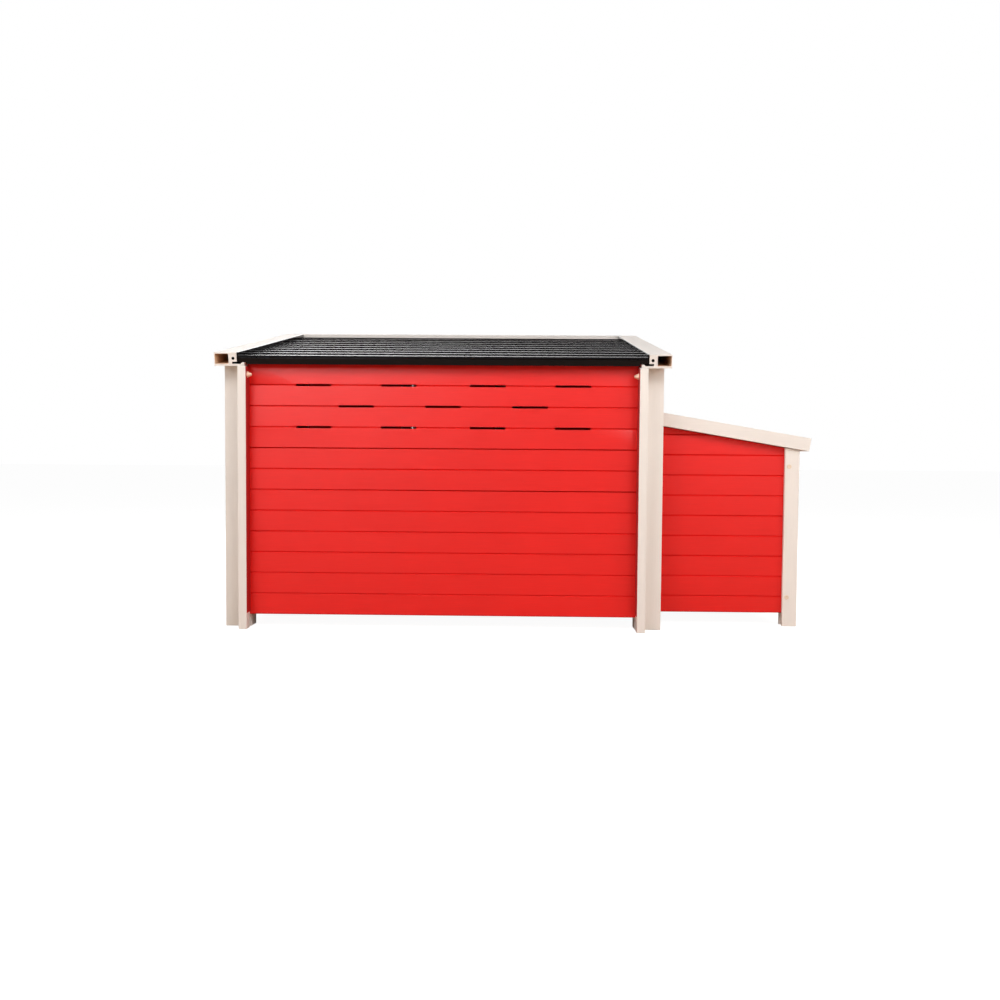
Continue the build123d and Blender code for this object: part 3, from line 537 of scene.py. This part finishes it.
def skin(work, low, high):
    """Faces between two rings, either of which may be a single point."""
    count = max(len(low), len(high))
    for step in range(count):
        after = (step + 1) % count
        corners = [low[step % len(low)], low[after % len(low)]]
        corners += [high[after % len(high)], high[step % len(high)]]
        work.faces.new(list(dict.fromkeys(corners)))


def turn_shape(work, place, profile, closed, segments=40):
    """Spin (radius, height) pairs about the place's z axis."""
    rings = [ring_of(work, place, radius, height, segments) for radius, height in profile]
    for low, high in zip(rings, rings[1:]):
        skin(work, low, high)
    if closed:
        skin(work, rings[-1], rings[0])


def shown(work, name, look, body, sharp=radians(30)):
    """Make an object of a finished shape and let it ride on its body."""
    bmesh.ops.recalc_face_normals(work, faces=work.faces)
    mesh = bpy.data.meshes.new(name)
    work.to_mesh(mesh)
    work.free()
    mesh.materials.append(materials[look][0])
    tone_islands(mesh, name)
    mesh.shade_smooth()
    mesh.set_sharp_from_angle(angle=sharp)
    piece = bpy.data.objects.new(name, mesh)
    scene.collection.objects.link(piece)
    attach(piece, body)
    return piece


CONE_CAP = [
    (0, 0.0), (0.0102, 0.0), (0.0105, 0.0004), (0.0105, 0.0022), (0.0100, 0.0029), (0.0090, 0.0031),
    (0.0077, 0.0062), (0.0062, 0.0098), (0.0047, 0.0134), (0.0038, 0.0145), (0.0022, 0.0150), (0, 0.0150),
]
FLAT_CAP = [
    (0, 0.0), (0.0073, 0.0), (0.0075, 0.0003), (0.0075, 0.0018), (0.0070, 0.0026), (0.0060, 0.0030),
    (0.0048, 0.0030), (0.0043, 0.0025), (0.0030, 0.0024), (0, 0.0024),
]


def turned_caps(node, profile, seat_and_outward, look):
    """Turned caps where the part's own caps sit."""
    work = bmesh.new()
    source = bmesh.new()
    source.from_mesh(cleaned(nodes[node].data))
    for island in islands(source):
        low = Vector([min(vert.co[axis] for vert in island) for axis in range(3)])
        high = Vector([max(vert.co[axis] for vert in island) for axis in range(3)])
        seat, outward = seat_and_outward(low, high)
        turn_shape(work, frame_at(seat, outward), profile, closed=False)
    source.free()
    piece = shown(work, node + "_turned", (look, "x"), body_of_node[node])
    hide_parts(node)


def beside_fin(low, high):
    middle = (low + high) / 2
    side = 1 if middle.x > CABIN_MIDDLE else -1
    middle.x = high.x if side > 0 else low.x
    return middle, Vector((-side, 0, 0))


def on_nest_post(low, high):
    middle = (low + high) / 2
    side = 1 if middle.y > 0 else -1
    middle.y = low.y if side > 0 else high.y
    return middle, Vector((0, side, 0))


turned_caps("fin_screw_caps", CONE_CAP, beside_fin, "cap")
turned_caps("nest_screw_caps", FLAT_CAP, on_nest_post, "pale_cap")


def screw_head(work, place, radius):
    """A low round head with a cross recess."""
    height = radius * 0.38
    top = radius * 0.76
    rings = [(radius * 0.97, 0.0), (radius, height * 0.2), (radius * 0.93, height * 0.62), (top, height)]
    made = [ring_of(work, place, *pair, 24) for pair in rings]
    for low, high in zip(made, made[1:]):
        skin(work, low, high)
    work.faces.new(made[0])
    wide = radius * 0.11  # half the width of the cross recess
    reach = radius * 0.55
    outline = [
        (reach, -wide), (reach, wide), (wide, wide), (wide, reach), (-wide, reach), (-wide, wide),
        (-reach, wide), (-reach, -wide), (-wide, -wide), (-wide, -reach), (wide, -reach), (wide, -wide),
    ]
    mouth = [work.verts.new(place @ Vector((x, y, height))) for x, y in outline]
    floor = [work.verts.new(place @ Vector((x * 0.8, y * 0.8, height * 0.3))) for x, y in outline]
    skin(work, mouth, floor)
    work.faces.new(floor)
    rims = []
    for ring in (made[-1], mouth):
        rims += [work.edges.get((ring[step - 1], ring[step])) for step in range(len(ring))]
    bmesh.ops.triangle_fill(work, use_beauty=True, edges=rims)


def screws(name, body, points, outward, radius=0.0042):
    picker = random.Random(name)
    work = bmesh.new()
    for point in points:
        screw_head(work, frame_at(point, outward, picker.uniform(0, pi / 2)), radius)
    shown(work, name, ("steel", "x"), body)


def washers(name, body, points, outward, hole, radius):
    work = bmesh.new()
    profile = [(hole, 0.0), (radius, 0.0), (radius, 0.0010), (radius - 0.0015, 0.0020), (hole, 0.0020)]
    for point in points:
        turn_shape(work, frame_at(point, outward), profile, closed=True)
    shown(work, name, ("steel", "x"), body)


LEAF_HOLE = 0.0223        # from a hinge's pin to the holes in its leaves
HOLE_SPREAD = 0.018       # of those holes along the pin
LEAF_FACE = 0.0035        # from the pin's axis back to a leaf's outer face


def leaf_holes(pins, along, across, outward):
    """The screw holes of one leaf of each hinge."""
    spots = []
    for pin in pins:
        middle = pin + across * LEAF_HOLE - outward * LEAF_FACE
        spots += [middle - along * HOLE_SPREAD, middle + along * HOLE_SPREAD]
    return spots


x_way, y_way, z_way = Vector((1, 0, 0)), Vector((0, 1, 0)), Vector((0, 0, 1))
lid_down = Vector((cos(LID_SLOPE), 0, -sin(LID_SLOPE)))
lid_out = Vector((sin(LID_SLOPE), 0, cos(LID_SLOPE)))
door_axis = hinge_places["door_hinge"]
ramp_axis = hinge_places["ramp_hinge"]
lid_axis = hinge_places["nest_lid_hinge"]
door_pins = [Vector((door_axis.x, door_axis.y, z)) for z in (0.240, 0.820)]
ramp_pins = [Vector((ramp_axis.x, y, ramp_axis.z)) for y in (-0.1, 0.1)]
lid_pins = [Vector((lid_axis.x, y, lid_axis.z)) for y in (-0.2, 0.2)]
hinge_screws = [
    ("door_fixed", "coop", leaf_holes(door_pins, z_way, -x_way, y_way), y_way),
    ("door_moving", "door", leaf_holes(door_pins, z_way, x_way, y_way), y_way),
    ("ramp_fixed", "coop", leaf_holes(ramp_pins, y_way, -z_way, -x_way), -x_way),
    ("ramp_moving", "ramp", leaf_holes(ramp_pins, y_way, z_way, -x_way), -x_way),
    ("lid_fixed", "coop", leaf_holes(lid_pins, y_way, z_way, x_way), x_way),
    ("lid_moving", "nest_lid", leaf_holes(lid_pins, y_way, lid_down, lid_out), lid_out),
]
for name, body, spots, outward in hinge_screws:
    screws(name + "_screws", body, spots, outward)

pull_low, pull_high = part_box("door_pull")
pull_x = (pull_low[0] + pull_high[0]) / 2
door_feet = [Vector((pull_x, pull_low[1], z)) for z in (pull_low[2] + 0.005, pull_high[2] - 0.005)]
washers("door_pull_washers", "door", door_feet, y_way, 0.0051, 0.0105)
grip_low, grip_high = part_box("ramp_pull")
grip_z = (grip_low[2] + grip_high[2]) / 2
ramp_feet = [Vector((grip_high[0], y, grip_z)) for y in (grip_low[1] + 0.003, grip_high[1] - 0.003)]
washers("ramp_pull_washers", "ramp", ramp_feet, -x_way, 0.0031, 0.0070)

guide_low, guide_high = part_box("door_bolt_guide")
guide_spots = [
    Vector((x, guide_low[1] + 0.002, z))
    for x in (guide_low[0] + 0.019, guide_high[0] - 0.019)
    for z in (guide_low[2] + 0.0035, guide_high[2] - 0.0035)
]
screws("bolt_guide_screws", "door", guide_spots, y_way, 0.0026)
keeper_low, keeper_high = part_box("door_bolt_keeper")
keeper_spots = [
    Vector((keeper_high[0] - 0.0042, keeper_low[1] + 0.002, z))
    for z in (keeper_low[2] + 0.0045, keeper_high[2] - 0.0045)
]
screws("bolt_keeper_screws", "coop", keeper_spots, y_way, 0.0026)

cleat_low, cleat_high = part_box("ramp_cleats")
CLEATS = 6
CLEAT_PITCH = 0.053
cleat_spots = [
    Vector((cleat_high[0], y, cleat_low[2] + 0.008 + index * CLEAT_PITCH))
    for index in range(CLEATS)
    for y in (-0.112, 0.112)
]
screws("ramp_cleat_screws", "ramp", cleat_spots, x_way, 0.0030)


# Camera, light and floor

def camera_matrix(place, yaw, pitch, roll):
    """Yaw turns left from +Y, pitch tips down and roll lifts the camera's right side."""
    right = Vector((cos(yaw), sin(yaw), 0))
    forward = Vector((-sin(yaw) * cos(pitch), cos(yaw) * cos(pitch), -sin(pitch)))
    up = right.cross(forward)
    side = cos(roll) * right + sin(roll) * up
    top = cos(roll) * up - sin(roll) * right
    turn = Matrix((side, top, -forward)).transposed().to_4x4()
    return Matrix.Translation(place) @ turn


lens = bpy.data.cameras.new("camera")
lens.lens = 35.0
lens.sensor_width = 36.0
camera = bpy.data.objects.new("camera", lens)
scene.collection.objects.link(camera)
camera.matrix_world = camera_matrix(Vector((-0.002, -3.706, 0.585)), 0.0175, 0.0467, 0.0073)
scene.camera = camera

scene.view_settings.view_transform = "Standard"
scene.view_settings.look = "None"

world = bpy.data.worlds.new("studio")
world.use_nodes = True
world.node_tree.nodes["Background"].inputs["Color"].default_value = (1, 1, 1, 1)
world.node_tree.nodes["Background"].inputs["Strength"].default_value = 0.10
scene.world = world


def away_from(bearing, height):
    """Direction of a light: bearing 0 is in front of the back wall, negative to its left."""
    turn, rise = radians(bearing), radians(height)
    return Vector((sin(turn) * cos(rise), -cos(turn) * cos(rise), sin(rise)))


LIGHT_AIM = Vector((-0.1, -0.4, 0.5))
LIGHT_DISTANCE = 4.5


def soft_light(name, bearing, height, size, strength, seen_by=("diffuse", "glossy")):
    """A square studio light; strength 1 lights a facing surface as a white sky would."""
    away = away_from(bearing, height)
    data = bpy.data.lights.new(name, "AREA")
    data.size = size
    data.energy = strength * (pi * LIGHT_DISTANCE) ** 2
    light = bpy.data.objects.new(name, data)
    light.location = LIGHT_AIM + away * LIGHT_DISTANCE
    light.rotation_mode = "QUATERNION"
    light.rotation_quaternion = away.to_track_quat("Z", "Y")
    light.visible_diffuse = "diffuse" in seen_by
    light.visible_glossy = "glossy" in seen_by
    scene.collection.objects.link(light)


soft_light("front_left", -29, 42, 2.0, 0.32, ("diffuse",))
soft_light("front_right", 29, 42, 2.0, 0.365)
soft_light("low_left", -32, 11, 1.6, 0.09, ("diffuse",))
soft_light("low_right", 32, 11, 1.6, 0.10, ("diffuse",))
soft_light("left", -60, 20, 1.6, 0.12)
soft_light("right", 60, 20, 1.6, 0.20)
soft_light("door_side_left", 145, 26, 1.8, 0.42, ("diffuse",))
soft_light("door_side_right", -145, 26, 1.8, 0.42, ("diffuse",))
soft_light("wall_sheen", -28, 31, 2.4, 1.35, ("glossy",))
soft_light("nest_sheen", 36, 24, 1.8, 0.40, ("glossy",))


# Stage: a pale floor, the white surround that the camera sees, and a reflector behind

def stage_piece(name, corners, faces, colour, glow, seen_by):
    mesh = bpy.data.meshes.new(name)
    mesh.from_pydata(corners, [], faces)
    look = Nodes(name)
    look.set(Base_Color=colour, Roughness=0.9, Specular_IOR_Level=0.0)
    look.set(Emission_Color=(1.0, 1.0, 1.0), Emission_Strength=glow)
    mesh.materials.append(look.material)
    piece = bpy.data.objects.new(name, mesh)
    piece.visible_camera = "camera" in seen_by
    piece.visible_diffuse = "diffuse" in seen_by
    piece.visible_glossy = "glossy" in seen_by
    piece.visible_shadow = False
    scene.collection.objects.link(piece)
    return piece


REACH = 40.0
BLACK = (0.0, 0.0, 0.0)
PALE = (0.30, 0.30, 0.30)
WARM = (0.52, 0.40, 0.29)
square = [(-REACH, -REACH), (REACH, -REACH), (REACH, REACH), (-REACH, REACH)]
low_corners = [(x, y, -1.0) for x, y in square]
high_corners = [(x, y, REACH) for x, y in square]
sides = [(0, 1, 5, 4), (1, 2, 6, 5), (2, 3, 7, 6), (3, 0, 4, 7), (4, 5, 6, 7)]
stage_piece("studio_surround", low_corners + high_corners, sides, BLACK, 1.0, ("camera",))
floor_corners = [(x, y, 0.0) for x, y in square]
stage_piece("studio_floor", floor_corners, [(0, 1, 2, 3)], PALE, 0.95, ("camera",))
bounce_corners = [(x, y, -0.001) for x, y in square]
stage_piece("bounce_floor", bounce_corners, [(0, 1, 2, 3)], WARM, 0.0, ("diffuse", "glossy"))
card_left, card_right, card_y, card_top = -9.0, 3.0, 8.0, 5.0
card_corners = [
    (card_left, card_y, 0.0),
    (card_right, card_y, 0.0),
    (card_right, card_y, card_top),
    (card_left, card_y, card_top),
]
card = stage_piece("rear_reflector", card_corners, [(0, 1, 2, 3)], BLACK, 1.0, ("glossy",))


def fade_across(piece, low, high, glow_low, glow_high):
    """Let a stage piece's glow change along x, from one place to another."""
    tree = piece.data.materials[0].node_tree
    place = tree.nodes.new("ShaderNodeTexCoord")
    split = tree.nodes.new("ShaderNodeSeparateXYZ")
    fade = tree.nodes.new("ShaderNodeMapRange")
    fade.inputs["From Min"].default_value = low
    fade.inputs["From Max"].default_value = high
    fade.inputs["To Min"].default_value = glow_low
    fade.inputs["To Max"].default_value = glow_high
    tree.links.new(place.outputs["Object"], split.inputs["Vector"])
    tree.links.new(split.outputs["X"], fade.inputs["Value"])
    shader = tree.nodes["Principled BSDF"]
    tree.links.new(fade.outputs["Result"], shader.inputs["Emission Strength"])


fade_across(card, -3.0, 1.0, 3.4, 1.1)
